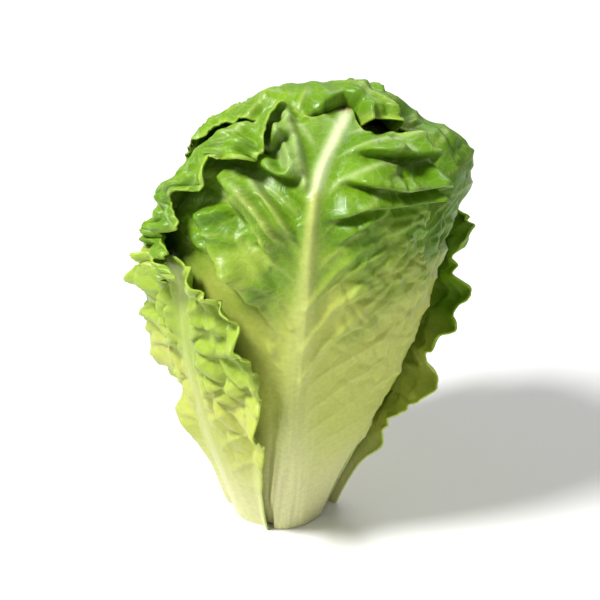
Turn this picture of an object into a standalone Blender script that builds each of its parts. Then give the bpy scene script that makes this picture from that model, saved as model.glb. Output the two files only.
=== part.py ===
"""A small head of romaine lettuce, standing upright on its cut butt.

Every leaf is laid on one egg-shaped body. A leaf is drawn flat, in millimetres across and along
its midrib, and then wrapped on the egg at its own depth, so that the leaves lie over each other
like the real ones and never cross. The front of the head, where the widest midrib is, faces -Y.
"""

import math

import bmesh
import bpy
import numpy as np

MM = 0.001

# The egg that the outermost leaves lie on: radius and height of the points of two Bezier arcs.
BUTT_RADIUS = 16.5
WIDEST_RADIUS = 50.0
WIDEST_HEIGHT = 105.0
HEAD_HEIGHT = 156.0
LOWER_ARC = (
    (BUTT_RADIUS, 0.0),
    (BUTT_RADIUS + 10.5, 26.0),
    (WIDEST_RADIUS, 68.0),
    (WIDEST_RADIUS, WIDEST_HEIGHT),
)
SHOULDER = 0.64
UPPER_ARC = (
    (WIDEST_RADIUS, WIDEST_HEIGHT),
    (WIDEST_RADIUS, WIDEST_HEIGHT + SHOULDER * (HEAD_HEIGHT - WIDEST_HEIGHT)),
    (SHOULDER * WIDEST_RADIUS, HEAD_HEIGHT),
    (0.0, HEAD_HEIGHT),
)
LEAN = 0.075

# Depth from one leaf to the next, at the butt and higher up, and where it has grown to that.
PITCH_AT_BUTT = 1.15
PITCH = 1.75
PITCH_FULL_AT = 45.0

# The leaf blade's thickness, and the midrib's half width at its two ends.
BLADE = 0.85
RIB_HALF_AT_ROOT = 12.0
RIB_HALF_AT_TIP = 2.5

# Share of a leaf's half width that its pointed tip takes, and the length one margin wave unit has.
POINT_SHARE = 0.14
WAVE_UNIT = 45.0

# The folds across the front leaf: distance from one to the next, and how they rise outward.
FOLD_LENGTH = 17.0
FOLD_RISE = 0.22

# The stem: radius and height of its turned outline.
STEM_TOP = 36.0
STEM_OUTLINE = ((12.6, 0.0), (12.8, 1.5), (11.8, 8.0), (9.0, 20.0), (7.0, STEM_TOP))
STEM_SIDES = 40

# The heart: a turned core that its own small leaves stand out of, on top of the stem.
JOINT_GAP = 0.3
CORE_DEPTH = 20.5
CORE_FROM = 50.0
CORE_SIDES = 28
CORE_RINGS = 14
HEART_LEAVES = 6
HEART_LEAF_TURN = 137.5


def bezier(points, t):
    """Radius and height along one Bezier arc, for an array of t from 0 to 1."""
    a, b, c, d = (np.array(point)[:, None] for point in points)
    u = 1 - t
    return a * u**3 + 3 * b * u * u * t + 3 * c * u * t * t + d * t**3


def make_egg():
    """Arc length from the butt, radius, height and outward normal, sampled along the egg."""
    t = np.linspace(0, 1, 400)
    r, z = np.hstack([bezier(LOWER_ARC, t), bezier(UPPER_ARC, t)[:, 1:]])
    step = np.hypot(np.diff(r), np.diff(z))
    s = np.concatenate([[0], np.cumsum(step)])
    dr, dz = np.gradient(r, s), np.gradient(z, s)
    size = np.hypot(dr, dz)
    return s, r, z, dz / size, -dr / size, s[len(t) - 1]


EGG_S, EGG_R, EGG_Z, EGG_NR, EGG_NZ, S_WIDEST = make_egg()
S_TOP = EGG_S[-1]
ANGLE_RATE = (math.pi / 2) / (S_TOP - S_WIDEST)


def smooth(low, high, value):
    t = np.clip((value - low) / (high - low), 0, 1)
    return t * t * (3 - 2 * t)


def wrap(x, y):
    """Arc length and turn, on the egg, of a point x across and y along a leaf's midrib.

    Below the widest ring a leaf's width follows level rings. Above it the width follows great
    circles square to the midrib, so that a tip can pass over the top of the head.
    """
    level_turn = x / np.maximum(np.interp(y, EGG_S, EGG_R), 1.0)
    slope = ANGLE_RATE * (S_TOP - y)
    across = x / WIDEST_RADIUS
    circle_s = S_TOP - np.arccos(np.clip(np.cos(across) * np.cos(slope), -1, 1)) / ANGLE_RATE
    circle_turn = np.arctan2(np.sin(across), np.cos(across) * np.sin(slope))
    high = smooth(S_WIDEST - 25, S_WIDEST + 8, y)
    level_turn = np.where(high < 1, level_turn, 0)
    return y + high * (circle_s - y), level_turn + high * (circle_turn - level_turn)


def on_head(s, turn, height):
    """Points in millimetres: arc length and turn on the egg, and height over its surface."""
    r = np.interp(s, EGG_S, EGG_R) + height * np.interp(s, EGG_S, EGG_NR)
    z = np.interp(s, EGG_S, EGG_Z) + height * np.interp(s, EGG_S, EGG_NZ)
    return np.stack([r * np.sin(turn) + LEAN * z, -r * np.cos(turn), z], axis=-1)


def from_above(s, turn):
    """The egg unrolled round its top: distance from the top, towards the turn."""
    away = S_TOP - s
    return np.stack([away * np.sin(turn), away * np.cos(turn)], axis=-1)


def outside_distance(points, outline):
    """Distance from points to a closed outline, negative inside it."""
    start, end = outline, np.roll(outline, -1, axis=0)
    edge = end - start
    to = points[:, None] - start[None]
    along = np.clip((to * edge).sum(-1) / np.maximum((edge * edge).sum(-1), 1e-9), 0, 1)
    gap = np.linalg.norm(to - along[..., None] * edge, axis=-1).min(axis=1)
    px, py = points[:, 0, None], points[:, 1, None]
    crosses = (start[:, 1] > py) != (end[:, 1] > py)
    rise = np.where(np.abs(edge[:, 1]) < 1e-9, 1e-9, edge[:, 1])
    inside = (crosses & (px < start[:, 0] + (py - start[:, 1]) / rise * edge[:, 0])).sum(axis=1)
    return np.where(inside % 2 == 1, -gap, gap)


class Leaf:
    """One leaf's measures, all in millimetres and degrees.

    turn is where its midrib stands, 0 at the front and 90 at the right. root and tip are arc
    lengths along the egg, and middle is where the leaf is at its widest.
    """

    def __init__(self, name, layer, turn, **measures):
        self.name = name
        self.layer = layer
        self.turn = math.radians(turn)
        self.root = 0.0
        self.middle = 106.0
        self.tip = S_TOP - 20
        self.left = 58.0
        self.right = 58.0
        self.root_half = 14.0
        self.columns = 13
        self.rows = 18
        self.rib = 2.4
        self.bend = 0.0
        self.ruffle = 2.5
        self.waves = 9
        self.curl = 0.0
        self.point = 0.0
        self.margin_free = (3.5, 13.0)
        self.roll = None
        self.folds = 0.0
        self.brim = 0.0
        self.seed = layer
        self.sunk = 0.0
        self.__dict__.update(measures)

    def depth(self, s):
        """How far inside the egg the leaf lies. A leaf that is sunk starts deeper, in the core."""
        pitch = PITCH_AT_BUTT + (PITCH - PITCH_AT_BUTT) * smooth(0, PITCH_FULL_AT, s)
        return self.layer * pitch + self.sunk * (1 - smooth(self.root + 8, S_TOP - 35, s))

    def grid(self):
        """u across from -1 to 1, closer together at the midrib, and v along from 0 to 1."""
        u = np.linspace(-1, 1, self.columns)
        u = np.sign(u) * np.abs(u) ** 1.25
        v = np.linspace(0, 1, self.rows) ** 0.85
        return np.meshgrid(u, v)

    def flat(self, u, v):
        """The flat leaf, from a square: x, y, nearness to the margin, angle round it, and roll.

        The lower part is a strip that widens. The upper part is half a round, reached by the
        usual map from a square to a disc. Nearness runs from 0 in the middle to 1 at the margin.
        Roll is how many millimetres past its fold a point of a rolled margin lies.
        """
        split = (self.middle - self.root) / (self.tip - self.root)
        low = v < split
        low_t = np.clip(v / split, 0, 1)
        high_t = np.clip((v - split) / (1 - split), 0, 1)
        disc_x = u * np.sqrt(1 - high_t**2 / 2)
        disc_y = high_t * np.sqrt(1 - u * u / 2)
        near = np.where(low, np.abs(u), np.hypot(disc_x, disc_y))
        angle = np.where(low, np.where(u < 0, math.pi, 0), np.arctan2(disc_y, disc_x))
        half = np.where(u < 0, self.left, self.right)
        half = np.where(
            low, self.root_half + (half - self.root_half) * smooth(0, 1, low_t**0.85), half
        )
        low_y = self.root + low_t * (self.middle - self.root)
        extra = self.roll_width(u, low, low_y, angle)
        some = np.maximum(near, 1e-6)
        rolled = np.clip(near * (half + extra) - half, 0, None)
        reach = np.where(extra > 0, np.minimum(some * (half + extra), half) / (some * half), 1)
        x = np.where(low, u, disc_x) * half * reach
        y = np.where(low, low_y, self.middle + (self.tip - self.middle) * disc_y * reach)
        y = y + self.point * high_t**5 * np.exp(-((u / POINT_SHARE) ** 2))
        return x, y, near, angle, rolled

    def roll_width(self, u, low, low_y, angle):
        """Width of the margin that is rolled back, which runs up the leaf's left side."""
        if not self.roll:
            return 0 * u
        start, end, width, _ = self.roll
        lower = np.where(low, smooth(start - 12, start + 8, low_y), 1)
        upper = smooth(math.radians(end - 25), math.radians(end), angle)
        return width * lower * np.where(u < 0, upper, 0)

    def lift(self, x, y, near, angle):
        """Height of the ruffles, folds and brim where nothing lies over the leaf."""
        along = (y - self.root) / (self.tip - self.root)
        beside = np.abs(angle - math.pi / 2) > 1.57
        way = np.where(beside, np.sign(x) * (y - self.middle) / WAVE_UNIT, angle * 1.2)
        wave = np.sin(self.waves * way + self.seed * 1.7)
        wave += 0.45 * np.sin(self.waves * 1.9 * way + self.seed * 2.9)
        edge = smooth(0.62, 1.0, near) * smooth(0.12, 0.4, along)
        height = np.maximum(self.ruffle * edge * (0.9 + wave), 0)
        height += self.curl * smooth(0.7, 1.0, near) ** 2
        if self.folds:
            over = y - self.middle
            side = smooth(8, 26, x) * smooth(6, 18, over) * (1 - smooth(60, 72, over))
            phase = 2 * math.pi * (over - FOLD_RISE * x - 22) / FOLD_LENGTH
            height += side * (self.folds * (0.55 + 0.45 * np.cos(phase)) - height)
        if self.brim:
            front = smooth(S_TOP - 24, S_TOP + 4, y)
            height += front * (self.brim * (1 - 0.35 * smooth(0.9, 1, near)) - height)
        return height

    def shape(self, u, v, free):
        """x, y and height of the outer face and of the inner face, over the leaf's own layer."""
        x, y, near, angle, rolled = self.flat(u, v)
        along = (y - self.root) / (self.tip - self.root)
        rib_half = RIB_HALF_AT_ROOT - (RIB_HALF_AT_ROOT - RIB_HALF_AT_TIP) * smooth(0, 0.85, along)
        rib = self.rib * (1 - 0.75 * along) * np.exp(-1.6 * (x / rib_half) ** 2)
        rib *= 1 - smooth(0.9, 1.0, along)
        lift = self.lift(x, y, near, angle) * free
        x = x + self.bend * smooth(S_TOP - 60, S_TOP - 5, y) ** 1.5 * (1 - 0.3 * near)
        outer = rib * free + lift
        if not self.roll:
            return x, y, outer, x, y, lift - BLADE
        radius = self.roll[3]
        turned = np.clip(rolled / radius, 0, math.pi)
        out = radius * np.sin(turned) - np.clip(rolled - math.pi * radius, 0, None)
        outer = outer + radius * (1 - np.cos(turned))
        size = np.maximum(np.hypot(x, y - self.middle), 1e-6)
        high = y > self.middle
        aim_x = np.where(high, x / size, np.sign(x))
        aim_y = np.where(high, (y - self.middle) / size, 0)
        inner_out = out + BLADE * np.sin(turned)
        inner = np.where(rolled > 0, outer - BLADE * np.cos(turned), lift - BLADE)
        return (
            x + out * aim_x,
            y + out * aim_y,
            outer,
            x + inner_out * aim_x,
            y + inner_out * aim_y,
            inner,
        )

    def outline(self):
        """The leaf's own outline, unrolled round the top of the head."""
        t = np.linspace(-1, 1, 25)
        u = np.concatenate([t, 0 * t[1:-1] + 1, t[::-1], 0 * t[1:-1] - 1])
        way = (t[1:-1] + 1) / 2
        v = np.concatenate([0 * t, way, 0 * t + 1, way[::-1]])
        x, y = self.shape(u, v, 1.0)[:2]
        s, turn = wrap(x, y)
        return from_above(s, turn + self.turn)


LEAVES = [
    Leaf("leaf_left_short", 0, -62, middle=70, tip=108, left=26, right=24, root_half=12,
         ruffle=4.2, waves=8, curl=3.0, rows=24, seed=3),
    Leaf("leaf_back_short", 0, 138, middle=72, tip=118, left=42, right=42, root_half=13,
         ruffle=3.4, waves=7, curl=2.0, rows=22, seed=5),
    Leaf("leaf_front", 1, 0, tip=S_TOP - 19, point=8, left=70, right=60, root_half=17, columns=19,
         rows=34, rib=3.0, bend=14, ruffle=1.5, roll=(122, 128, 17, 2.6), folds=6.0),
    Leaf("leaf_right_back", 2, 118, tip=S_TOP - 24, left=64, right=60, rows=18, ruffle=2.0),
    Leaf("leaf_hood", 3, 196, root=7, tip=S_TOP + 13, left=62, right=62, rows=24, columns=15,
         ruffle=1.5, brim=8.0, margin_free=(2.0, 7.0)),
    Leaf("leaf_left", 4, -82, tip=S_TOP - 16, left=58, right=58, root=6, ruffle=3.0),
    Leaf("leaf_right", 5, 62, tip=S_TOP - 17, left=56, right=56, root=9, ruffle=3.0),
    Leaf("leaf_inner_back", 6, 165, tip=S_TOP - 8, left=46, right=46, root=13, columns=9, rows=14,
         ruffle=1.0),
    Leaf("leaf_inner_front", 7, -28, tip=S_TOP - 8, left=46, right=46, root=16, columns=9,
         rows=14, ruffle=1.0),
    Leaf("leaf_inner_left", 8, 250, tip=S_TOP - 8, left=44, right=44, root=19, columns=9, rows=14,
         ruffle=1.0),
]


def free_of(leaf, s, turn):
    """1 where nothing lies over the leaf, falling to 0 near and under the leaves outside it."""
    free = np.ones(s.shape)
    points = from_above(s, turn).reshape(-1, 2)
    stretch = (S_TOP - s) / np.maximum(np.interp(s, EGG_S, EGG_R), 4.0)
    for other in LEAVES:
        if other.layer >= leaf.layer:
            continue
        gap = outside_distance(points, other.outline()).reshape(s.shape)
        gap = gap / np.clip(stretch, 1, 3) ** 0.8
        free = np.minimum(free, smooth(*leaf.margin_free, gap))
    return free


def leaf_faces(leaf):
    """Points of the outer and the inner face of a leaf, in rows, in millimetres."""
    u, v = leaf.grid()
    x, y = leaf.flat(u, v)[:2]
    s, turn = wrap(x, y)
    free = free_of(leaf, s, turn + leaf.turn)
    outer_x, outer_y, outer, inner_x, inner_y, inner = leaf.shape(u, v, free)
    faces = []
    for across, along, height in ((outer_x, outer_y, outer), (inner_x, inner_y, inner)):
        s, turn = wrap(across, along)
        points = on_head(s, turn + leaf.turn, height - leaf.depth(s))
        if leaf.root == 0:
            points[0, :, 2] = 0
        faces.append(points)
    return faces


def sheet_mesh(bm, outer, inner):
    """Joins two like grids of points into one closed leaf, split alike on both faces."""
    rows, columns = outer.shape[:2]
    front = [[bm.verts.new(outer[i, j] * MM) for j in range(columns)] for i in range(rows)]
    back = [[bm.verts.new(inner[i, j] * MM) for j in range(columns)] for i in range(rows)]
    for i in range(rows - 1):
        for j in range(columns - 1):
            a, b, c, d = (i, j), (i, j + 1), (i + 1, j + 1), (i + 1, j)
            halves = ((a, b, c), (a, c, d)) if (i + j) % 2 else ((a, b, d), (b, c, d))
            for half in halves:
                bm.faces.new([front[p][q] for p, q in half])
                bm.faces.new([back[p][q] for p, q in reversed(half)])
    rim = [(0, j) for j in range(columns)]
    rim += [(i, columns - 1) for i in range(1, rows)]
    rim += [(rows - 1, j) for j in range(columns - 2, -1, -1)]
    rim += [(i, 0) for i in range(rows - 2, 0, -1)]
    for (i, j), (k, m) in zip(rim, rim[1:] + rim[:1]):
        bm.faces.new([front[k][m], front[i][j], back[i][j]])
        bm.faces.new([front[k][m], back[i][j], back[k][m]])


def finish(bm, name, colour, roughness):
    """Turns a bmesh into a named object with its own material, faces out and shaded smooth."""
    bmesh.ops.recalc_face_normals(bm, faces=bm.faces)
    mesh = bpy.data.meshes.new(name)
    bm.to_mesh(mesh)
    bm.free()
    mesh.shade_smooth()
    mesh.set_sharp_from_angle(angle=math.radians(60))
    material = bpy.data.materials.new(name)
    material.use_nodes = True
    shader = material.node_tree.nodes["Principled BSDF"]
    shader.inputs["Base Color"].default_value = (*colour, 1)
    shader.inputs["Roughness"].default_value = roughness
    shader.inputs["Metallic"].default_value = 0
    mesh.materials.append(material)
    obj = bpy.data.objects.new(name, mesh)
    bpy.context.scene.collection.objects.link(obj)
    return obj


def make_leaf(leaf, colour):
    bm = bmesh.new()
    sheet_mesh(bm, *leaf_faces(leaf))
    return finish(bm, leaf.name, colour, 0.42)


def turned(bm, outline, sides):
    """A body turned round the leaning axis from (radius, height) points, flat at its foot."""
    rings = []
    for radius, height in outline:
        points = [(LEAN * height, 0, height)]
        if radius > 0:
            turns = [2 * math.pi * i / sides for i in range(sides)]
            points = [
                (radius * math.sin(turn) + LEAN * height, -radius * math.cos(turn), height)
                for turn in turns
            ]
        rings.append([bm.verts.new([c * MM for c in point]) for point in points])
    bm.faces.new(rings[0][::-1])
    for low, high in zip(rings, rings[1:]):
        for i in range(sides):
            k = (i + 1) % sides
            if len(high) == 1:
                bm.faces.new((low[i], low[k], high[0]))
            else:
                bm.faces.new((low[i], low[k], high[k], high[i]))
    if len(rings[-1]) > 1:
        bm.faces.new(rings[-1])


def make_stem():
    bm = bmesh.new()
    turned(bm, STEM_OUTLINE, STEM_SIDES)
    return finish(bm, "stem", (0.80, 0.82, 0.62), 0.55)


def core_outline():
    """The egg at the core's depth, closed below by a foot on the stem's top."""
    s = np.linspace(CORE_FROM, S_TOP, CORE_RINGS)
    r = np.interp(s, EGG_S, EGG_R) - CORE_DEPTH * np.interp(s, EGG_S, EGG_NR)
    z = np.interp(s, EGG_S, EGG_Z) - CORE_DEPTH * np.interp(s, EGG_S, EGG_NZ)
    foot = [(STEM_OUTLINE[-1][0], STEM_TOP + JOINT_GAP)]
    return foot + list(zip(r[:-1].tolist(), z[:-1].tolist())) + [(0, float(z[-1]))]


def make_heart(colour):
    """The core and its small leaves, joined into one body."""
    bm = bmesh.new()
    turned(bm, core_outline(), CORE_SIDES)
    heart = finish(bm, "heart", colour, 0.42)
    blades = bpy.data.collections.new("heart_blades")
    bpy.context.scene.collection.children.link(blades)
    for number in range(HEART_LEAVES):
        blade = Leaf(f"blade_{number}", 9.3 + 0.25 * number, number * HEART_LEAF_TURN, root=70,
                     middle=128, tip=S_TOP - 4, left=26, right=26, root_half=9, columns=7, rows=10,
                     rib=0.6, ruffle=0.9, waves=5, sunk=5.0, seed=number)
        bm = bmesh.new()
        sheet_mesh(bm, *leaf_faces(blade))
        obj = finish(bm, blade.name, colour, 0.42)
        bpy.context.scene.collection.objects.unlink(obj)
        blades.objects.link(obj)
    union = heart.modifiers.new("blades", "BOOLEAN")
    union.operation = "UNION"
    union.operand_type = "COLLECTION"
    union.collection = blades
    union.solver = "EXACT"
    graph = bpy.context.evaluated_depsgraph_get()
    joined = bpy.data.meshes.new_from_object(heart.evaluated_get(graph))
    heart.modifiers.clear()
    heart.data = joined
    for obj in list(blades.objects):
        bpy.data.objects.remove(obj, do_unlink=True)
    bpy.data.collections.remove(blades)
    return heart


for old in list(bpy.data.objects):
    bpy.data.objects.remove(old, do_unlink=True)

make_stem()
for number, one in enumerate(LEAVES):
    shade = number / (len(LEAVES) - 1)
    make_leaf(one, (0.26 + 0.25 * shade, 0.47 + 0.16 * shade, 0.08 + 0.10 * shade))
make_heart((0.66, 0.72, 0.30))
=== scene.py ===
"""A small romaine lettuce head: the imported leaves, dressed as ribbed, blistered, ruffled leaves.

Each leaf is laid out as in the part: flat, in millimetres across and along its midrib, then
wrapped on one egg at its own depth. Here the mesh is fine, and veins, folds, blisters, frills
and the colour of each point are worked out on the flat leaf. The front of the head faces -Y.
"""

import math
from types import SimpleNamespace

import bpy
import numpy as np
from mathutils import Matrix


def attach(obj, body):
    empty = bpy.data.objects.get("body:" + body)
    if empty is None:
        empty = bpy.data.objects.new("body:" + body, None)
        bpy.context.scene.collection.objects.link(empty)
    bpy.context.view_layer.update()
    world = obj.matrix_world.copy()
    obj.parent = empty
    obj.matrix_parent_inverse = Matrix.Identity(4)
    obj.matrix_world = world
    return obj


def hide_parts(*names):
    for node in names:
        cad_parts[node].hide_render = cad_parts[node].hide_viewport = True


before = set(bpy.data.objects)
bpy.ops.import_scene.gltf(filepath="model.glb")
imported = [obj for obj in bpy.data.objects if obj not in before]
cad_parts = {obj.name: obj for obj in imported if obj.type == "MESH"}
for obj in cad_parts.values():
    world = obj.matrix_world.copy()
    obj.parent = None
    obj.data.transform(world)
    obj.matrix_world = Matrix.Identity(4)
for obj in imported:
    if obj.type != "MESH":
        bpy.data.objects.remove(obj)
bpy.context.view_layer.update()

MM = 0.001

# The egg of the part: radius and height of the points of two Bezier arcs, in millimetres.
BUTT_RADIUS = 16.5
WIDEST_RADIUS = 50.0
WIDEST_HEIGHT = 105.0
HEAD_HEIGHT = 156.0
LOWER_ARC = (
    (BUTT_RADIUS, 0.0),
    (BUTT_RADIUS + 10.5, 26.0),
    (WIDEST_RADIUS, 68.0),
    (WIDEST_RADIUS, WIDEST_HEIGHT),
)
SHOULDER = 0.64
UPPER_ARC = (
    (WIDEST_RADIUS, WIDEST_HEIGHT),
    (WIDEST_RADIUS, WIDEST_HEIGHT + SHOULDER * (HEAD_HEIGHT - WIDEST_HEIGHT)),
    (SHOULDER * WIDEST_RADIUS, HEAD_HEIGHT),
    (0.0, HEAD_HEIGHT),
)
# How far the axis leans to the right for each millimetre of height.
LEAN = 0.075
# How far each layer of leaves lies inside the one before, at the butt and from PITCH_FULL_AT up.
PITCH_AT_BUTT = 1.15
PITCH = 1.75
PITCH_FULL_AT = 45.0
# Half width of a midrib, and of a pointed tip as a share of the leaf's half width.
RIB_HALF_AT_ROOT = 12.0
RIB_HALF_AT_TIP = 2.5
POINT_SHARE = 0.14
# Ruffles are counted along the margin in units: millimetres to a unit in the lower part of the
# leaf, and units to a radian in its round upper part.
WAVE_UNIT = 45.0
WAVE_PER_ANGLE = 1.2
# The shoulders of a leaf's outline, left and right: angle round the leaf and spread, in radians.
SHOULDER_PLACES = ((math.radians(128), 0.40), (math.radians(50), 0.34))

STEM_OUTLINE = ((0.0, 0.0), (11.4, 0.0), (12.4, 0.5), (12.8, 1.5), (11.8, 8.0), (9.0, 20.0),
                (7.0, 36.0), (0.0, 36.0))
CORE_DEPTH = 20.5
CORE_FROM = 50.0
CORE_FOOT = (7.0, 36.3)
HEART_LEAVES = 6
HEART_LEAF_TURN = 137.5
HEART_LEAF_LAYER = 9.3
HEART_LEAF_STEP = 0.25

# The fine mesh: spacing of its points, and the blade's thickness at its thinnest and thickest.
SPACING = 0.95
BLADE = 0.6
THICKEST = 4.5
THICKNESS_LEVELS = 64
STEM_STEP = 0.8
SIDES = 96
# Millimetres of leaf to one unit of the flat_leaf map.
MAP_UNIT = 100

# Forms of the front leaf, in millimetres across and along it.
# A lip is a fold with a sharp lower edge: height, length that it sinks away over, and its edge.
FRONT_LIPS = (
    (2.4, 9.0, ((10, 129), (18, 135), (30, 143), (42, 148))),
    (4.5, 6.5, ((7, 137), (16, 141), (26, 143), (44, 149))),
    (7.5, 6.0, ((11, 150), (18, 149), (27, 149), (42, 155))),
    (8.0, 7.0, ((14, 161), (21, 160), (37, 165))),
    (5.0, 5.0, ((17, 173), (22, 174), (28, 177))),
    (7.5, 7.0, ((-16, 155), (-11, 152), (-7, 151))),
    (6.0, 6.0, ((-24, 168), (-15, 163), (-10, 166))),
)
# A ridge is round across: height, or depth where it is negative, half width, and its line.
FRONT_RIDGES = (
    (4.0, 4.6, ((-29, 154), (-13, 134))),
    (5.5, 4.6, ((-37, 138), (-32, 128), (-26, 119), (-20, 110))),
    (3.5, 2.4, ((-33, 140), (-25, 143))),
    (-8.0, 2.4, ((-38, 157), (-30, 148), (-24, 139), (-19, 130))),
    (-8.0, 2.4, ((-24, 161), (-13, 147), (-5, 139))),
    (-6.0, 2.6, ((-42, 146), (-38, 132), (-34, 121))),
    (-5.0, 2.2, ((-18, 172), (-14, 163), (-10, 156))),
    (2.6, 3.0, ((-30, 102), (-20, 95), (-12, 88))),
    (-2.4, 2.6, ((-27, 107), (-18, 101), (-10, 94))),
    (-1.6, 2.4, ((12, 112), (26, 124), (40, 133))),
    (5.0, 3.6, ((31, 170), (37, 160), (39, 148))),
)
# Thick veins: the same, but pale.
FRONT_VEINS = (
    (3.4, 1.2, ((-25, 157), (-19, 150), (-13, 142), (-7, 133))),
    (4.2, 1.3, ((-29, 155), (-22, 147), (-16, 139), (-10, 130))),
    (3.4, 1.2, ((-33, 151), (-25, 143), (-19, 135), (-13, 127))),
    (2.6, 1.8, ((-10, 175), (-7, 165), (-5, 157), (-3, 148))),
    (2.2, 1.2, ((-14, 172), (-10, 163), (-7, 154))),
    (0.6, 1.6, ((5, 176), (8, 164))),
    (1.2, 1.4, ((-31, 124), (-20, 112), (-8, 94))),
    (1.0, 1.4, ((-22, 128), (-14, 114), (-4, 98))),
    (0.9, 1.4, ((1, 106), (10, 119), (24, 130), (40, 139))),
    (0.8, 1.4, ((1, 90), (9, 104), (24, 117), (38, 127))),
    (0.7, 1.4, ((1, 76), (8, 90), (22, 104), (36, 114))),
)
# A swelling is round both ways: height, middle, and radius across and along.
FRONT_SWELLINGS = (
    (4.2, -26, 151, 22, 24),
    (2.5, 22, 154, 16, 20),
    (1.8, 0, 137, 10, 10),
    (3.4, -41, 117, 5, 7),
    (2.8, -31, 110, 4, 6),
    (3.0, -37, 102, 5, 5),
    (2.4, -24, 119, 4, 5),
    (2.8, -45, 127, 5, 4),
    (2.0, -22, 101, 4, 6),
)
# How far a fold leans down over its edge, for each millimetre that it stands up.
OVERHANG = 0.45
# How far the hood's brim reaches forward, for each millimetre that it is lifted.
BRIM_REACH = 0.6
# How far the outline of a margin wanders, for each millimetre of its frill.
EDGE_NOTCH = 0.9

# The rolled margin: how it fades in along the leaf and out round it, the radius that the way
# round it is measured on, the length of its lobes, and how much wider it is low on the leaf.
ROLL_FADE = 14
ROLL_FADE_ANGLE = 22
ROLL_ROUND = 70
ROLL_LOBE = 17.0
ROLL_WIDENS = 0.3
ROLL_WIDENS_FROM = math.radians(140)
ROLL_WIDENS_TO = math.radians(175)
# How much of the relief stays under the rolled margin.
UNDER_ROLL = 0.4
# How far the fine forms may dip below the leaf.
FINE_DIP = 0.3

# Side veins: distance apart, how far one rises on its way out and over what width, half width.
VEIN_GAP = 12.0
VEIN_RISE = 34
VEIN_RISE_OVER = 30
VEIN_HALF = 1.1

# Linear colours of the leaves: at the root, above it, in the blade, at the margin, of the ribs,
# of the ribs and veins with a painted highlight on the front leaf's top, and of the front leaf's
# withered tip.
CREAM = np.array([0.60, 0.60, 0.30])
LIME = np.array([0.42, 0.46, 0.085])
BRIGHT = np.array([0.190, 0.340, 0.013])
DEEP = np.array([0.088, 0.205, 0.006])
MARGIN = np.array([0.40, 0.56, 0.06])
RIB = np.array([0.44, 0.48, 0.13])
# Pale rib colour with a painted highlight: near white where the front leaf's top bends over and
# faces the top light.
PALE_AND_LIT_RIB = np.array([0.64, 0.70, 0.40])
BROWN_TIP = np.array([0.13, 0.06, 0.01])

# Linear colours of the stem and of the core: low on it and high on it, and on the cut face.
STEM_LOW = np.array([0.80, 0.78, 0.56])
STEM_HIGH = np.array([0.70, 0.74, 0.42])
PITH_RING = np.array([0.66, 0.66, 0.34])
BROWN_RIM = np.array([0.50, 0.33, 0.14])
CORE_LOW = np.array([0.68, 0.70, 0.38])
CORE_HIGH = np.array([0.48, 0.60, 0.12])

# Each light's name, place in metres, width in metres and power in watts.
LIGHTS = (
    ("key", (-0.60, -0.40, 1.05), 0.32, 23),
    ("fill", (0.9, -0.8, 0.6), 0.9, 1.2),
    ("back", (0.3, 0.8, 1.0), 0.7, 5),
)
LIGHTS_AIM = (0, 0, 0.08)
WORLD_STRENGTH = 0.30

CAMERA_TARGET = (0.006, 0, 0.080)
CAMERA_DISTANCE = 1.15
CAMERA_ELEVATION = math.radians(25)


def bezier(points, t):
    """Radius and height along one Bezier arc, for an array of t from 0 to 1."""
    a, b, c, d = (np.array(point)[:, None] for point in points)
    u = 1 - t
    return a * u**3 + 3 * b * u * u * t + 3 * c * u * t * t + d * t**3


def make_egg():
    """Arc length from the butt, radius, height and outward normal, sampled along the egg.

    The last value is the arc length at which the egg is at its widest.
    """
    t = np.linspace(0, 1, 400)
    r, z = np.hstack([bezier(LOWER_ARC, t), bezier(UPPER_ARC, t)[:, 1:]])
    step = np.hypot(np.diff(r), np.diff(z))
    s = np.concatenate([[0], np.cumsum(step)])
    dr, dz = np.gradient(r, s), np.gradient(z, s)
    size = np.hypot(dr, dz)
    return s, r, z, dz / size, -dr / size, s[len(t) - 1]


EGG_S, EGG_R, EGG_Z, EGG_NR, EGG_NZ, S_WIDEST = make_egg()
S_TOP = EGG_S[-1]
ANGLE_RATE = (math.pi / 2) / (S_TOP - S_WIDEST)


def smooth(low, high, value):
    t = np.clip((value - low) / (high - low), 0, 1)
    return t * t * (3 - 2 * t)


def mix(a, b, share):
    return a + (b - a) * share


def wrap(x, y):
    """Arc length and turn, on the egg, of a point x across and y along a leaf's midrib."""
    level_turn = x / np.maximum(np.interp(y, EGG_S, EGG_R), 1.0)
    slope = ANGLE_RATE * (S_TOP - y)
    across = x / WIDEST_RADIUS
    circle_s = S_TOP - np.arccos(np.clip(np.cos(across) * np.cos(slope), -1, 1)) / ANGLE_RATE
    circle_turn = np.arctan2(np.sin(across), np.cos(across) * np.sin(slope))
    high = smooth(S_WIDEST - 25, S_WIDEST + 8, y)
    level_turn = np.where(high < 1, level_turn, 0)
    return y + high * (circle_s - y), level_turn + high * (circle_turn - level_turn)


def on_head(s, turn, height):
    """Points in millimetres: arc length and turn on the egg, and height over its surface."""
    r = np.interp(s, EGG_S, EGG_R) + height * np.interp(s, EGG_S, EGG_NR)
    z = np.interp(s, EGG_S, EGG_Z) + height * np.interp(s, EGG_S, EGG_NZ)
    return np.stack([r * np.sin(turn) + LEAN * z, -r * np.cos(turn), z], axis=-1)


def from_above(s, turn):
    """The egg unrolled round its top: distance from the top, towards the turn."""
    away = S_TOP - s
    return np.stack([away * np.sin(turn), away * np.cos(turn)], axis=-1)


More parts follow.
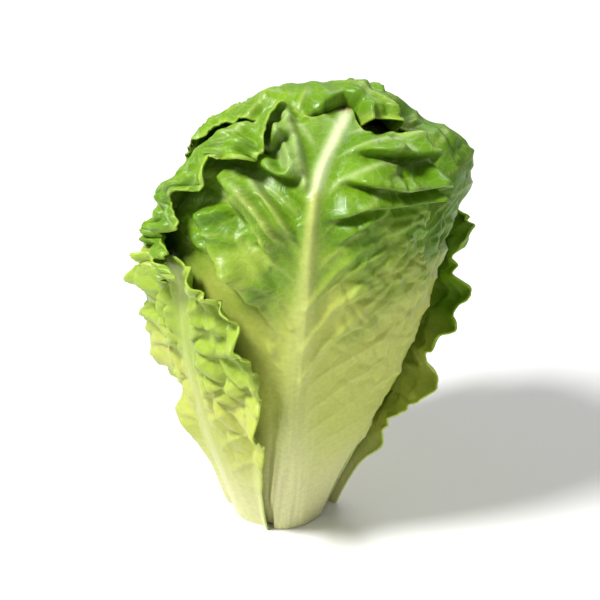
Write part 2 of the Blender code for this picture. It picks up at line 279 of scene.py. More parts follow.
def outside_distance(points, outline):
    """Distance from points to a closed outline, negative inside it."""
    start, end = outline, np.roll(outline, -1, axis=0)
    edge = end - start
    length = np.maximum((edge * edge).sum(-1), 1e-9)
    rise = np.where(np.abs(edge[:, 1]) < 1e-9, 1e-9, edge[:, 1])
    found = []
    for part in np.array_split(points, max(1, len(points) // 4000)):
        to = part[:, None] - start[None]
        along = np.clip((to * edge).sum(-1) / length, 0, 1)
        gap = np.linalg.norm(to - along[..., None] * edge, axis=-1).min(axis=1)
        px, py = part[:, 0, None], part[:, 1, None]
        crosses = (start[:, 1] > py) != (end[:, 1] > py)
        inside = (crosses & (px < start[:, 0] + (py - start[:, 1]) / rise * edge[:, 0])).sum(axis=1)
        found.append(np.where(inside % 2 == 1, -gap, gap))
    return np.concatenate(found)


def hashed(i, j, seed):
    """A repeatable number from 0 to 1 for each whole-number place."""
    n = i.astype(np.int64) * 374761393 + j.astype(np.int64) * 668265263 + seed * 974634777
    n = (n ^ (n >> 13)) * 1274126177
    n = (n ^ (n >> 16)) & 0xFFFFFF
    return n / float(0xFFFFFF)


def noise(x, y, seed):
    """Smooth noise from -1 to 1 with features about one unit long."""
    i, j = np.floor(x), np.floor(y)
    fx, fy = x - i, y - j
    total = 0
    for di in (0, 1):
        for dj in (0, 1):
            turn = hashed(i + di, j + dj, seed) * 2 * math.pi
            dot = np.cos(turn) * (fx - di) + np.sin(turn) * (fy - dj)
            wx = 1 - smooth(0, 1, np.abs(fx - di))
            wy = 1 - smooth(0, 1, np.abs(fy - dj))
            total = total + dot * wx * wy
    return total * 1.5


def layered_noise(x, y, seed, layers=3):
    total, size = 0, 1.0
    for layer in range(layers):
        total = total + noise(x / size, y / size, seed + 17 * layer) * size
        size *= 0.5
    return total


def cells(x, y, seed):
    """How much further the second nearest of scattered centres is than the nearest."""
    i, j = np.floor(x), np.floor(y)
    first, second = np.full(x.shape, 9.0), np.full(x.shape, 9.0)
    for di in (-1, 0, 1):
        for dj in (-1, 0, 1):
            cx = i + di + hashed(i + di, j + dj, seed)
            cy = j + dj + hashed(i + di, j + dj, seed + 5)
            gap = np.hypot(cx - x, cy - y)
            second = np.where(gap < first, first, np.minimum(second, gap))
            first = np.minimum(first, gap)
    return second - first


def line_distance(x, y, points):
    """Distance from places on the flat leaf to a line drawn on it."""
    nearest = np.full(x.shape, 1e9)
    for (ax, ay), (bx, by) in zip(points, points[1:]):
        ex, ey = bx - ax, by - ay
        t = np.clip(((x - ax) * ex + (y - ay) * ey) / (ex * ex + ey * ey), 0, 1)
        nearest = np.minimum(nearest, np.hypot(x - ax - t * ex, y - ay - t * ey))
    return nearest


def ridge_height(x, y, height, half, points):
    return height * np.exp(-((line_distance(x, y, points) / half) ** 2))


def lip_height(x, y, height, length, points):
    """A fold that stands up sharply above its edge and sinks away further up the leaf.

    A groove runs along just below the edge.
    """
    xs, ys = zip(*points)
    over = y - np.interp(x, xs, ys)
    ends = smooth(xs[0] - 4, xs[0] + 4, x) * (1 - smooth(xs[-1] - 2, xs[-1] + 5, x))
    stands = smooth(-1.5, 1.5, over) * np.exp(-np.clip(over, 0, None) / length)
    return height * (stands - 0.45 * np.exp(-(((over + 2.2) / 1.6) ** 2))) * ends


class Leaf:
    """One leaf's measures, as in the part, with how strong its fine forms are.

    turn is where its midrib stands, 0 at the front and 90 at the right. root and tip are arc
    lengths along the egg, and middle is where the leaf is at its widest. roll holds where the
    rolled margin starts along the leaf, the angle round the leaf where it ends, its width, and
    the radius of its fold.
    """

    def __init__(self, name, layer, turn, **measures):
        self.name = name
        self.layer = layer
        self.turn = math.radians(turn)
        self.seed = layer
        self.spacing = SPACING
        # Outline: half widths, and how much further its shoulders and its point reach.
        self.root = 0.0
        self.middle = 106.0
        self.tip = S_TOP - 20
        self.left = 58.0
        self.right = 58.0
        self.root_half = 14.0
        self.shoulders = (0.0, 0.0)
        self.point = 0.0
        self.bend = 0.0
        self.sunk = 0.0
        # Large forms. margin_free is how far from a leaf outside it the relief starts and is full.
        self.margin_free = (3.5, 13.0)
        self.rib = 2.4
        self.ruffle = 2.5
        self.waves = 9
        self.curl = 0.0
        self.brim = 0.0
        self.roll = None
        self.lips = ()
        self.ridges = ()
        self.veins = ()
        self.swellings = ()
        # Fine forms: heights, the width of a blister, and the half width without blisters.
        self.blister = 1.0
        self.cell = 7.0
        self.smooth_half = 18.0
        self.crumple = 1.0
        self.vein = 0.6
        self.frill = 1.4
        # Colour: how deep the green is, how much of it stays lime, how pale the rib is, and how
        # far up the leaf its rib and veins get a painted highlight, near white, where the top bends
        # over towards the top light.
        self.green = 0.5
        self.lime = 0.0
        self.rib_pale = 0.92
        self.lit_pale_above = None
        self.__dict__.update(measures)

    def depth(self, s):
        """How far inside the egg the leaf lies. A leaf that is sunk starts deeper, in the core."""
        pitch = PITCH_AT_BUTT + (PITCH - PITCH_AT_BUTT) * smooth(0, PITCH_FULL_AT, s)
        return self.layer * pitch + self.sunk * (1 - smooth(self.root + 8, S_TOP - 35, s))

    def grid(self):
        """u across from -1 to 1 and v along from 0 to 1, at about the mesh's spacing."""
        across = self.left + self.right + (self.roll[2] if self.roll else 0)
        columns = int(across / self.spacing) | 1
        rows = int((self.tip - self.root) * 1.05 / self.spacing)
        return np.meshgrid(np.linspace(-1, 1, columns), np.linspace(0, 1, rows))

    def flat(self, u, v):
        """Places on the flat leaf, from a square.

        The lower part is a strip that widens. The upper part is half a round, reached by the
        usual map from a square to a disc. near runs from 0 in the middle to 1 at the margin and
        way is the distance round the margin. aim points from the middle of the leaf outwards. A
        rolled margin keeps the x and y of its fold: rolled is how far past the fold a place lies,
        inside how far short of it, and full_x and full_y are where it would lie unrolled.
        """
        split = (self.middle - self.root) / (self.tip - self.root)
        low = v < split
        low_t = np.clip(v / split, 0, 1)
        high_t = np.clip((v - split) / (1 - split), 0, 1)
        disc_x = u * np.sqrt(1 - high_t**2 / 2)
        disc_y = high_t * np.sqrt(1 - u * u / 2)
        p = SimpleNamespace()
        p.near = np.where(low, np.abs(u), np.hypot(disc_x, disc_y))
        p.angle = np.where(low, np.where(u < 0, math.pi, 0), np.arctan2(disc_y, disc_x))
        full = np.where(u < 0, self.left, self.right)
        widened = self.root_half + (full - self.root_half) * smooth(0, 1, low_t**0.85)
        half = np.where(low, widened, full)
        low_y = self.root + low_t * (self.middle - self.root)
        extra = self.roll_width(u, low, low_y, p.angle)
        out = p.near * (half + extra)
        p.rolled = np.clip(out - half, 0, None)
        p.inside = half - out
        p.overlap = extra - (math.pi * self.roll[3] if self.roll else 0)
        reach = np.where(extra > 0, np.minimum(out, half) / np.maximum(p.near * half, 1e-6), 1)
        gain = 0 * u
        for share, (angle, spread) in zip(self.shoulders, SHOULDER_PLACES):
            gain = gain + share * np.exp(-(((p.angle - angle) / spread) ** 2))
        reach = reach * (1 + gain * p.near**2)
        p.x = np.where(low, u, disc_x) * half * reach
        p.y = np.where(low, low_y, self.middle + (self.tip - self.middle) * disc_y * reach)
        p.y = p.y + self.point * high_t**5 * np.exp(-((u / POINT_SHARE) ** 2))
        round_part = (self.tip - self.middle + full) / 2
        beside = np.where(u < 0, math.pi * round_part + self.middle - p.y, p.y - self.middle)
        p.way = np.where(low, beside, p.angle * round_part)
        low_way = np.sign(u) * (p.y - self.middle) / WAVE_UNIT
        low_way = low_way + np.where(u < 0, math.pi * WAVE_PER_ANGLE, 0)
        p.wave_way = np.where(low, low_way, p.angle * WAVE_PER_ANGLE)
        p.along = (p.y - self.root) / (self.tip - self.root)
        size = np.maximum(np.hypot(p.x, p.y - self.middle), 1e-6)
        p.aim_x = np.where(low, np.sign(u), p.x / size)
        p.aim_y = np.where(low, 0, (p.y - self.middle) / size)
        p.full_x = p.x + p.aim_x * p.rolled
        p.full_y = p.y + p.aim_y * p.rolled
        return p

    def roll_width(self, u, low, low_y, angle):
        """Width of the margin that is rolled back, which runs up the leaf's left side."""
        if not self.roll:
            return 0 * u
        start, end, width, _ = self.roll
        lower = np.where(low, smooth(start - ROLL_FADE, start + ROLL_FADE, low_y), 1)
        upper = smooth(math.radians(end - ROLL_FADE_ANGLE), math.radians(end), angle)
        low_way = math.pi * ROLL_ROUND + self.middle - low_y
        round_way = np.where(low, low_way, angle * ROLL_ROUND)
        lobes = np.abs(np.sin(math.pi * round_way / ROLL_LOBE + 0.6))
        uneven = 0.74 + 0.26 * lobes + 0.12 * noise(round_way / 9.0, 0 * u + 3.5, self.seed + 40)
        wider = 1 + ROLL_WIDENS * smooth(ROLL_WIDENS_FROM, ROLL_WIDENS_TO, angle)
        return width * wider * lower * np.where(u < 0, upper, 0) * uneven

    def bent_x(self, p):
        """x of each place once the upper part of the leaf leans aside."""
        return p.x + self.bend * smooth(S_TOP - 60, S_TOP - 5, p.y) ** 1.5 * (1 - 0.3 * p.near)

    def vein_shape(self, x, y):
        """Side veins: how strongly a point lies on one (0 to 1), and the pleat between them."""
        side = np.sign(x)
        rise = VEIN_RISE * (1 - np.exp(-np.abs(x) / VEIN_RISE_OVER))
        wobble = 3.0 * noise(x / 16.0, y / 16.0, self.seed + 11)
        phase = (y - rise + wobble + side * 3.1) / VEIN_GAP
        off = np.abs(phase - np.round(phase)) * VEIN_GAP
        width = VEIN_HALF * (1 - 0.6 * smooth(8, 45, np.abs(x)))
        on_vein = np.exp(-((off / width) ** 2))
        branch = np.abs(noise(x / 7.0 + 3.1, y / 8.0, self.seed + 91))
        on_branch = 0.6 * np.exp(-((branch / 0.05) ** 2)) * smooth(10, 22, np.abs(x))
        clear = smooth(2.0, 7.0, np.abs(x)) * smooth(self.root + 12, self.root + 55, y)
        return np.maximum(on_vein, on_branch) * clear, np.cos(2 * math.pi * phase) * clear

    def lift(self, p):
        """Height of the ruffles and the brim where nothing lies over the leaf."""
        wave = np.sin(self.waves * p.wave_way + self.seed * 1.7)
        wave += 0.45 * np.sin(self.waves * 1.9 * p.wave_way + self.seed * 2.9)
        edge = smooth(0.62, 1.0, p.near) * smooth(0.12, 0.4, p.along)
        height = np.maximum(self.ruffle * edge * (0.9 + wave), 0)
        height += self.curl * smooth(0.7, 1.0, p.near) ** 2
        if self.brim:
            front = smooth(S_TOP - 24, S_TOP + 4, p.y)
            height += front * (self.brim * (1 - 0.35 * smooth(0.9, 1, p.near)) - height)
        return height

    def forms(self, x, y):
        """Height of the leaf's own folds, ridges and swellings, and of the folds alone."""
        folds, rest = 0 * x, 0 * x
        for lip in self.lips:
            folds = folds + lip_height(x, y, *lip)
        for ridge in self.ridges + self.veins:
            rest = rest + ridge_height(x, y, *ridge)
        for height, cx, cy, rx, ry in self.swellings:
            rest = rest + height * np.exp(-(((x - cx) / rx) ** 2) - ((y - cy) / ry) ** 2)
        return np.maximum(folds + rest, 0), folds

    def fine(self, x, y, p):
        """Veins, pleats, blisters, crumples and the frilled margin, in millimetres of height."""
        on_vein, pleat = self.vein_shape(x, y)
        blade = smooth(0.28, 1.0, np.abs(x) / self.smooth_half) * smooth(0.2, 0.6, p.along)
        shift = 3.4 * noise(x / 11.0, y / 11.0, self.seed + 21)
        gap = cells((x + shift) / self.cell, (y - shift) / (self.cell * 1.15), self.seed + 7)
        blisters = self.blister * (0.65 - (1 - np.clip(gap / 0.75, 0, 1)) ** 2) * blade
        fold = 1 - 2 * np.abs(layered_noise(x / 17.0 + shift / 8, y / 12.0, self.seed + 31, 2))
        crumples = self.crumple * np.clip(fold, 0, 1) * blade * smooth(0.4, 0.8, p.along)
        frill = noise(p.way / 6.5, p.near * 2.2, self.seed + 51) * smooth(0.8, 1.0, p.near)
        frill += 0.6 * noise(p.way / 3.1, p.near * 3.0, self.seed + 52) * smooth(0.9, 1.0, p.near)
        return (
            self.vein * on_vein
            + 0.4 * self.vein * pleat * (1 - smooth(0.75, 1, p.near))
            + blisters
            + crumples
            + self.frill * frill * smooth(0.2, 0.5, p.along)
        )

    def rib_shape(self, p):
        """How strongly a point lies on the midrib (0 to 1), and the midrib's height."""
        half = mix(RIB_HALF_AT_ROOT, RIB_HALF_AT_TIP, smooth(0, 0.85, p.along))
        on_rib = np.exp(-1.6 * (p.x / half) ** 2)
        height = self.rib * (1 - 0.75 * p.along) * on_rib * (1 - smooth(0.9, 1.0, p.along))
        strands = 1 + 0.12 * layered_noise(p.x / 2.0, p.y / 40.0, self.seed + 95)
        return on_rib, height * strands

    def notch(self, p):
        """How far the margin's outline stands out, which is negative where it stands back."""
        level = 0 * p.way
        wander = noise(p.way / 8.0, level, self.seed + 81)
        wander = wander + 0.6 * noise(p.way / 3.7, level, self.seed)
        at_margin = smooth(0.75, 1.0, p.near) * smooth(0.15, 0.4, p.along)
        return EDGE_NOTCH * self.frill * wander * at_margin * (1 - 0.8 * smooth(0, 3, p.rolled))

    def paleness(self, x, y):
        """How strongly a point lies on one of the leaf's own thick veins."""
        pale = 0 * x
        for height, half, points in self.veins:
            strength = min(1.0, 0.25 * height)
            on_line = np.exp(-((line_distance(x, y, points) / (half * 0.8)) ** 2))
            pale = np.maximum(pale, strength * on_line)
        return pale

    def roll_back(self, p, x, y, height):
        """x, y and height once the margin is rolled back over the leaf and made lumpy."""
        level = 0 * p.way
        wave = noise(p.way / 9.0, level, self.seed + 61)
        radius = self.roll[3] * (1 + 0.3 * wave * smooth(-8, 4, p.rolled - 4))
        turned = np.clip(p.rolled / radius, 0, math.pi)
        past = np.clip(p.rolled - math.pi * radius, 0, None)
        out = radius * np.sin(turned) - past
        height = height + radius * (1 - np.cos(turned))
        lump = 0.9 + 1.9 * layered_noise(p.full_x / 10.0, p.full_y / 10.0, self.seed + 63, 2)
        flutter = 0.8 + np.sin(p.way / 2.6) * noise(p.way / 11, level, 5)
        edge = smooth(0.88, 1.0, p.near) * flutter
        height = height + smooth(0, 5, past) * (2.4 * lump + 2.0 * edge)
        return x + out * p.aim_x, y + out * p.aim_y, height

    def shape(self, u, v, free):
        """Every point's x, y and height over the leaf's layer, with what its colour needs.

        free is 1 where nothing lies over the leaf. covered is 1 where its own rolled margin does.
        """
        p = self.flat(u, v)
        on_rib, rib = self.rib_shape(p)
        notch = self.notch(p)
        x, y = self.bent_x(p) + notch * p.aim_x, p.y + notch * p.aim_y
        fine = self.fine(p.full_x, p.full_y, p)
        forms, folds = self.forms(x, y)
        pale = self.paleness(x, y)
        covered = 1 - smooth(p.overlap - 4, p.overlap + 4, p.inside) if self.roll else 0 * u
        relief = (forms + np.maximum(fine, -FINE_DIP)) * (1 - (1 - UNDER_ROLL) * covered)
        height = (self.lift(p) + relief + rib) * free
        y = y - OVERHANG * folds * free * (1 - covered)
        if self.brim:
            y = y + BRIM_REACH * height * smooth(S_TOP - 8, S_TOP + 12, p.y)
        if self.roll:
            x, y, height = self.roll_back(p, x, y, height)
        looks = SimpleNamespace(x=p.full_x, y=p.full_y, along=p.along, near=p.near, rib=on_rib)
        side_vein, _ = self.vein_shape(p.full_x, p.full_y)
        looks.vein = np.maximum(side_vein * 0.6, pale * (1 - covered))
        if self.brim:
            looks.rib = looks.rib * (1 - smooth(0.75, 0.92, p.along))
        looks.thick = rib * free * smooth(0.3, 1.0, free)
        return x, y, height, looks

    def outline(self):
        """The leaf's own outline, unrolled round the top of the head."""
        t = np.linspace(-1, 1, 25)
        u = np.concatenate([t, 0 * t[1:-1] + 1, t[::-1], 0 * t[1:-1] - 1])
        way = (t[1:-1] + 1) / 2
        v = np.concatenate([0 * t, way, 0 * t + 1, way[::-1]])
        p = self.flat(u, v)
        s, turn = wrap(self.bent_x(p), p.y)
        return from_above(s, turn + self.turn)


LEAVES = [
    Leaf("leaf_left_short", 0, -56, middle=82, tip=116, left=30, right=32, root_half=12,
         rib=1.3, ruffle=3.6, waves=7, curl=3.0, seed=3, blister=3.4, cell=8.0, crumple=2.2,
         frill=1.6, green=-0.3, smooth_half=8.0, rib_pale=0.3, lime=0.4),
    Leaf("leaf_back_short", 0, 138, middle=72, tip=118, left=42, right=42, root_half=13,
         ruffle=4.0, waves=9, curl=2.0, seed=5, blister=2.6, cell=8.5, crumple=1.8,
         frill=2.6, green=0.4),
    # The front leaf's rib and veins get a painted highlight above 146 mm, where its top bends over
    # towards the top light.
    Leaf("leaf_front", 1, 0, tip=S_TOP - 21, point=14, left=70, right=47, root_half=17,
         rib=3.0, bend=14, ruffle=0.8, margin_free=(1.5, 7.0), roll=(107, 118, 31, 3.0),
         shoulders=(0.17, 0.18), lips=FRONT_LIPS, ridges=FRONT_RIDGES, veins=FRONT_VEINS,
         swellings=FRONT_SWELLINGS, blister=1.0, crumple=1.7, vein=0.3, frill=1.0, green=0.6,
         lit_pale_above=146, spacing=SPACING * 0.8),
    Leaf("leaf_right_back", 2, 118, tip=S_TOP - 24, left=64, right=60, ruffle=2.6, blister=1.3,
         crumple=1.2, cell=9.0, frill=2.0, swellings=((12.0, -16, 137, 17, 18),), green=0.9),
    Leaf("leaf_hood", 3, 196, root=7, tip=S_TOP + 13, left=62, right=62, ruffle=2.6, brim=10.0,
         shoulders=(0.17, 0.0), margin_free=(1.0, 5.0), blister=1.8, cell=9.0, crumple=1.6,
         frill=1.8, green=0.7),
    Leaf("leaf_left", 4, -82, root=6, tip=S_TOP - 16, ruffle=3.0, blister=1.8, crumple=1.5,
         green=0.6),
    Leaf("leaf_right", 5, 62, tip=S_TOP - 17, left=56, right=56, root=9, ruffle=3.0, green=0.5,
         spacing=SPACING * 1.3),
    Leaf("leaf_inner_back", 6, 165, tip=S_TOP - 8, left=46, right=46, root=13, ruffle=1.0,
         blister=0.4, green=0.3, spacing=SPACING * 1.6),
    Leaf("leaf_inner_front", 7, -28, tip=S_TOP - 8, left=46, right=46, root=16, ruffle=1.0,
         blister=0.4, green=0.3, spacing=SPACING * 1.6),
    Leaf("leaf_inner_left", 8, 250, tip=S_TOP - 8, left=44, right=44, root=19, ruffle=1.0,
         blister=0.4, green=0.2, spacing=SPACING * 1.6),
]


def free_of(leaf, s, turn):
    """1 where nothing lies over the leaf, falling to 0 near and under the leaves outside it."""
    free = np.ones(s.shape)
    points = from_above(s, turn).reshape(-1, 2)
    stretch = (S_TOP - s) / np.maximum(np.interp(s, EGG_S, EGG_R), 4.0)
    for other in LEAVES:
        if other.layer >= leaf.layer:
            continue
        gap = outside_distance(points, other.outline()).reshape(s.shape)
        gap = gap / np.clip(stretch, 1, 3) ** 0.8
        free = np.minimum(free, smooth(*leaf.margin_free, gap))
    return free


def leaf_colour(leaf, looks):
    """Linear colour of each point: pale at the rib and root, green in the blade."""
    along = looks.along[..., None]
    patch = layered_noise(looks.x / 22.0, looks.y / 22.0, leaf.seed + 71)[..., None]
    high = smooth(0.49, 0.77, along + 0.10 * patch) * (1 - leaf.lime)
    top = mix(BRIGHT, DEEP, np.clip(leaf.green + 0.45 * patch, 0, 1))
    colour = mix(mix(CREAM, LIME, smooth(0.04, 0.34, along)), top, high)
    # Painted highlight: high on the front leaf the rib and veins turn near white where its
    # bent-over top faces the top light; lower down they keep their own pale colour.
    pale_and_lit = 0 * along
    if leaf.lit_pale_above:
        pale_and_lit = smooth(leaf.lit_pale_above - 3, leaf.lit_pale_above + 2, looks.y)[..., None]
    middle = mix(mix(CREAM, RIB, smooth(0.1, 0.45, along)), PALE_AND_LIT_RIB, pale_and_lit)
    streak = 1 + 0.10 * layered_noise(looks.x / 1.6, looks.y / 40.0, leaf.seed + 95)[..., None]
    colour = mix(colour, middle * streak, looks.rib[..., None] * leaf.rib_pale)
    colour = mix(colour, mix(RIB, PALE_AND_LIT_RIB, pale_and_lit * 0.8), looks.vein[..., None] * 0.5)
    colour = mix(colour, MARGIN, smooth(0.97, 1, looks.near)[..., None] * 0.4)
    if leaf.lit_pale_above:
        tip = np.exp(-((looks.y - leaf.tip - leaf.point) / 2.5) ** 2 - (looks.x / 5) ** 2)
        colour = mix(colour, BROWN_TIP, tip[..., None])
    return np.clip(colour, 0, 1)


def new_material(name):
    material = bpy.data.materials.new(name)
    material.use_nodes = True
    return material, material.node_tree.nodes, material.node_tree.links


def map_range(nodes, low, high, to_low, to_high):
    node = nodes.new("ShaderNodeMapRange")
    node.inputs["From Min"].default_value = low
    node.inputs["From Max"].default_value = high
    node.inputs["To Min"].default_value = to_low
    node.inputs["To Max"].default_value = to_high
    return node


def leaf_material():
    """Waxy leaf: colour from the mesh, a fine net of veins, and light that passes through."""
    material, nodes, links = new_material("lettuce_leaf")
    shader = nodes["Principled BSDF"]
    shader.inputs["Subsurface Weight"].default_value = 0.3
    shader.inputs["Subsurface Radius"].default_value = (0.6, 1.0, 0.15)
    shader.inputs["Subsurface Scale"].default_value = 0.0015
    shader.inputs["IOR"].default_value = 1.4
    shader.inputs["Specular IOR Level"].default_value = 0.35

    tint = nodes.new("ShaderNodeAttribute")
    tint.attribute_name = "tint"
    place = nodes.new("ShaderNodeUVMap")
    place.uv_map = "flat_leaf"

    net = nodes.new("ShaderNodeTexVoronoi")
    net.feature = "DISTANCE_TO_EDGE"
    net.inputs["Scale"].default_value = 34.0
    links.new(place.outputs["UV"], net.inputs["Vector"])
    line = map_range(nodes, 0.0, 0.10, 1.0, 0.0)
    links.new(net.outputs["Distance"], line.inputs["Value"])

    speckle = nodes.new("ShaderNodeTexNoise")
    speckle.inputs["Scale"].default_value = 60.0
    speckle.inputs["Detail"].default_value = 4.0
    links.new(place.outputs["UV"], speckle.inputs["Vector"])

    share = nodes.new("ShaderNodeMath")
    share.operation = "MULTIPLY"
    share.inputs[1].default_value = 0.10
    links.new(line.outputs["Result"], share.inputs[0])
    lighter = nodes.new("ShaderNodeMix")
    lighter.data_type = "RGBA"
    lighter.inputs["B"].default_value = (0.46, 0.62, 0.16, 1)
    links.new(tint.outputs["Color"], lighter.inputs["A"])
    links.new(share.outputs["Value"], lighter.inputs["Factor"])

    value = map_range(nodes, 0.25, 0.75, 0.91, 1.09)
    links.new(speckle.outputs["Fac"], value.inputs["Value"])
    vary = nodes.new("ShaderNodeHueSaturation")
    links.new(value.outputs["Result"], vary.inputs["Value"])
    links.new(lighter.outputs["Result"], vary.inputs["Color"])
    links.new(vary.outputs["Color"], shader.inputs["Base Color"])

    gloss = map_range(nodes, 0.2, 0.8, 0.26, 0.44)
    links.new(speckle.outputs["Fac"], gloss.inputs["Value"])
    links.new(gloss.outputs["Result"], shader.inputs["Roughness"])

    grain = nodes.new("ShaderNodeMath")
    grain.operation = "MULTIPLY_ADD"
    grain.inputs[1].default_value = 0.5
    links.new(line.outputs["Result"], grain.inputs[0])
    links.new(speckle.outputs["Fac"], grain.inputs[2])
    bump = nodes.new("ShaderNodeBump")
    bump.inputs["Strength"].default_value = 0.22
    bump.inputs["Distance"].default_value = 0.0003
    links.new(grain.outputs["Value"], bump.inputs["Height"])
    links.new(bump.outputs["Normal"], shader.inputs["Normal"])
    return material


def stem_material():
    """Cut stem: cream, wet, with faint rings round the middle and a browned rim."""
    material, nodes, links = new_material("lettuce_stem")
    shader = nodes["Principled BSDF"]
    shader.inputs["Subsurface Weight"].default_value = 0.3
    shader.inputs["Subsurface Radius"].default_value = (1.0, 0.8, 0.4)
    shader.inputs["Subsurface Scale"].default_value = 0.002
    tint = nodes.new("ShaderNodeAttribute")
    tint.attribute_name = "tint"
    where = nodes.new("ShaderNodeTexCoord")
    fibre = nodes.new("ShaderNodeTexNoise")
    fibre.inputs["Scale"].default_value = 700.0
    fibre.inputs["Detail"].default_value = 5.0
    links.new(where.outputs["Object"], fibre.inputs["Vector"])
    value = map_range(nodes, 0.25, 0.75, 0.80, 1.12)
    links.new(fibre.outputs["Fac"], value.inputs["Value"])
    vary = nodes.new("ShaderNodeHueSaturation")
    links.new(value.outputs["Result"], vary.inputs["Value"])
    links.new(tint.outputs["Color"], vary.inputs["Color"])
    links.new(vary.outputs["Color"], shader.inputs["Base Color"])
    gloss = map_range(nodes, 0.2, 0.8, 0.35, 0.6)
    links.new(fibre.outputs["Fac"], gloss.inputs["Value"])
    links.new(gloss.outputs["Result"], shader.inputs["Roughness"])
    bump = nodes.new("ShaderNodeBump")
    bump.inputs["Strength"].default_value = 0.4
    bump.inputs["Distance"].default_value = 0.0004
    links.new(fibre.outputs["Fac"], bump.inputs["Height"])
    links.new(bump.outputs["Normal"], shader.inputs["Normal"])
    return material


def grid_mesh(name, points, place, colour, closed=False):
    """A smooth sheet from a grid of points in millimetres, with its tint and flat places."""
    rows, columns = points.shape[:2]
    index = np.arange(rows * columns).reshape(rows, columns)
    if closed:
        index = np.concatenate([index, index[:, :1]], axis=1)
    quads = np.stack(
        [index[:-1, :-1], index[:-1, 1:], index[1:, 1:], index[1:, :-1]], axis=-1
    ).reshape(-1, 4)
    mesh = bpy.data.meshes.new(name)
    mesh.from_pydata((points.reshape(-1, 3) * MM).tolist(), [], quads.tolist())
    mesh.shade_smooth()
    tint = mesh.color_attributes.new("tint", "FLOAT_COLOR", "POINT")
    rgba = np.concatenate([colour, np.ones((rows, columns, 1))], axis=-1)
    tint.data.foreach_set("color", rgba.astype(np.float32).ravel())
    layer = mesh.uv_layers.new(name="flat_leaf")
    corners = np.empty(len(mesh.loops), np.int32)
    mesh.loops.foreach_get("vertex_index", corners)
    layer.data.foreach_set("uv", place.reshape(-1, 2)[corners].astype(np.float32).ravel())
    return mesh


def new_object(name, mesh):
    obj = bpy.data.objects.new(name, mesh)
    bpy.context.scene.collection.objects.link(obj)
    return obj


def thicken(obj, thickness):
    """Closes a sheet into a leaf with its thickness on the inner side, above the ground."""
    group = obj.vertex_groups.new(name="thick")
    levels = np.clip(thickness / THICKEST, 0, 1).ravel() * THICKNESS_LEVELS
    levels = np.round(levels).astype(int)
    for level in np.unique(levels):
        group.add(np.nonzero(levels == level)[0].tolist(), level / THICKNESS_LEVELS, "REPLACE")
    solid = obj.modifiers.new("thickness", "SOLIDIFY")
    solid.thickness = THICKEST * MM
    solid.offset = -1
    solid.vertex_group = "thick"
    graph = bpy.context.evaluated_depsgraph_get()
    made = bpy.data.meshes.new_from_object(obj.evaluated_get(graph))
    obj.modifiers.clear()
    obj.vertex_groups.clear()
    obj.data = made
    places = np.empty(len(made.vertices) * 3, np.float32)
    made.vertices.foreach_get("co", places)
    places = places.reshape(-1, 3)
    places[:, 2] = np.maximum(places[:, 2], 0)
    made.vertices.foreach_set("co", places.ravel())
    made.update()


def make_leaf(leaf):
    u, v = leaf.grid()
    p = leaf.flat(u, v)
    s, turn = wrap(p.x, p.y)
    free = free_of(leaf, s, turn + leaf.turn)
    x, y, height, looks = leaf.shape(u, v, free)
    s, turn = wrap(x, y)
    points = on_head(s, turn + leaf.turn, height - leaf.depth(s))
    place = np.stack([looks.x / MAP_UNIT, looks.y / MAP_UNIT], axis=-1)
    mesh = grid_mesh(leaf.name, points, place, leaf_colour(leaf, looks))
    obj = new_object(leaf.name + "_fine", mesh)
    thicken(obj, BLADE + looks.thick)
    return obj


def turned_mesh(name, outline, colour):
    """A body turned round the leaning axis from (radius, height) points."""
    r, z = np.array(outline, float).T[:, :, None]
    turn = np.linspace(0, 2 * math.pi, SIDES, endpoint=False)[None]
    points = np.stack([r * np.sin(turn) + LEAN * z, -r * np.cos(turn), z + 0 * turn], axis=-1)
    place = np.stack([turn * 0.5 + 0 * z, z / MAP_UNIT + 0 * turn], axis=-1)
    return grid_mesh(name, points, place, colour(points), closed=True)


def stem_colour(points):
    """Cream, greener up the side, browned at the rim of the cut, with a ring round the pith."""
    r = np.hypot(points[..., 0], points[..., 1])[..., None]
    z = points[..., 2][..., None]
    patch = layered_noise(points[..., 0] / 4.0, points[..., 1] / 4.0, 8)[..., None]
    colour = mix(STEM_LOW, STEM_HIGH, smooth(2, 20, z))
    ring = np.exp(-(((r - 7.2) / 0.9) ** 2)) * (1 - smooth(0.2, 1.0, z))
    colour = mix(colour, PITH_RING, 0.7 * ring)
    brown = smooth(8.5, 12.5, r + 1.5 * patch) * (1 - smooth(0.8, 3.0, z))
    return mix(colour, BROWN_RIM, 0.55 * brown)


def core_colour(points):
    high = smooth(60, 130, points[..., 2])[..., None]
    return mix(CORE_LOW, CORE_HIGH, high)


def dense(outline, step):
    """The outline with points no further than a step apart."""
    points = []
    for (r0, z0), (r1, z1) in zip(outline, outline[1:]):
        count = max(1, int(math.hypot(r1 - r0, z1 - z0) / step))
        points += [(r0 + (r1 - r0) * i / count, z0 + (z1 - z0) * i / count) for i in range(count)]
    return points + [outline[-1]]


def make_stem():
    return new_object("stem_fine", turned_mesh("stem", dense(STEM_OUTLINE, STEM_STEP), stem_colour))


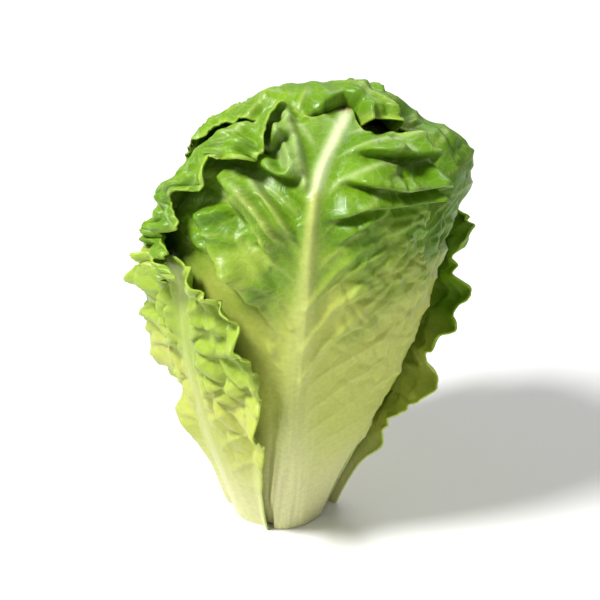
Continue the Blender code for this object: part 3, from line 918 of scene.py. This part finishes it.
def make_heart():
    """The core and its small leaves, joined into one piece."""
    s = np.linspace(CORE_FROM, S_TOP, 60)
    r = np.interp(s, EGG_S, EGG_R) - CORE_DEPTH * np.interp(s, EGG_S, EGG_NR)
    z = np.interp(s, EGG_S, EGG_Z) - CORE_DEPTH * np.interp(s, EGG_S, EGG_NZ)
    r[-1] = 0
    outline = [(0, CORE_FOOT[1]), CORE_FOOT] + list(zip(r, z))
    heart = new_object("heart_fine", turned_mesh("heart", outline, core_colour))
    pieces = [heart]
    for number in range(HEART_LEAVES):
        layer = HEART_LEAF_LAYER + HEART_LEAF_STEP * number
        blade = Leaf(f"blade_{number}", layer, number * HEART_LEAF_TURN, root=70, middle=128,
                     tip=S_TOP - 4, left=26, right=26, root_half=9, rib=0.6, ruffle=0.9, waves=5,
                     sunk=5.0, seed=number, blister=0.2, crumple=0.2, vein=0.2, frill=0.4,
                     green=-0.3, spacing=SPACING * 1.6)
        pieces.append(make_leaf(blade))
    with bpy.context.temp_override(active_object=heart, selected_editable_objects=pieces):
        bpy.ops.object.join()
    return heart


def dress(piece, node, material):
    piece.data.materials.clear()
    piece.data.materials.append(material)
    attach(piece, "root")
    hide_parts(node)


def dress_head():
    leafy = leaf_material()
    for leaf in LEAVES:
        dress(make_leaf(leaf), leaf.name, leafy)
    dress(make_heart(), "heart", leafy)
    dress(make_stem(), "stem", stem_material())


def make_floor():
    bpy.ops.mesh.primitive_plane_add(size=12, location=(0, 0, 0))
    floor = bpy.context.object
    floor.name = "floor"
    material, nodes, _ = new_material("floor")
    nodes["Principled BSDF"].inputs["Base Color"].default_value = (0.88, 0.88, 0.87, 1)
    nodes["Principled BSDF"].inputs["Roughness"].default_value = 0.6
    floor.data.materials.append(material)


def aim(obj, target):
    direction = np.array(target) - np.array(obj.location)
    tilt = math.atan2(math.hypot(direction[0], direction[1]), -direction[2])
    obj.rotation_euler = (tilt, 0, math.atan2(direction[1], direction[0]) - math.pi / 2)


def make_light(name, place, size, power):
    data = bpy.data.lights.new(name, "AREA")
    data.shape = "DISK"
    data.size = size
    data.energy = power
    light = new_object(name, data)
    light.location = place
    aim(light, LIGHTS_AIM)


def make_stage():
    make_floor()
    for light in LIGHTS:
        make_light(*light)
    world = bpy.data.worlds.new("studio")
    world.use_nodes = True
    background = world.node_tree.nodes["Background"]
    background.inputs["Color"].default_value = (1, 1, 1, 1)
    background.inputs["Strength"].default_value = WORLD_STRENGTH
    bpy.context.scene.world = world
    bpy.context.scene.view_settings.view_transform = "Standard"


def make_camera():
    """Looks at the head along +Y from 25 degrees above, as the photograph does."""
    data = bpy.data.cameras.new("camera")
    data.lens = 200
    data.sensor_width = 36
    camera = new_object("camera", data)
    x, y, z = CAMERA_TARGET
    back = CAMERA_DISTANCE * math.cos(CAMERA_ELEVATION)
    up = CAMERA_DISTANCE * math.sin(CAMERA_ELEVATION)
    camera.location = (x, y - back, z + up)
    camera.rotation_euler = (math.pi / 2 - CAMERA_ELEVATION, 0, 0)
    bpy.context.scene.camera = camera


dress_head()
make_stage()
make_camera()
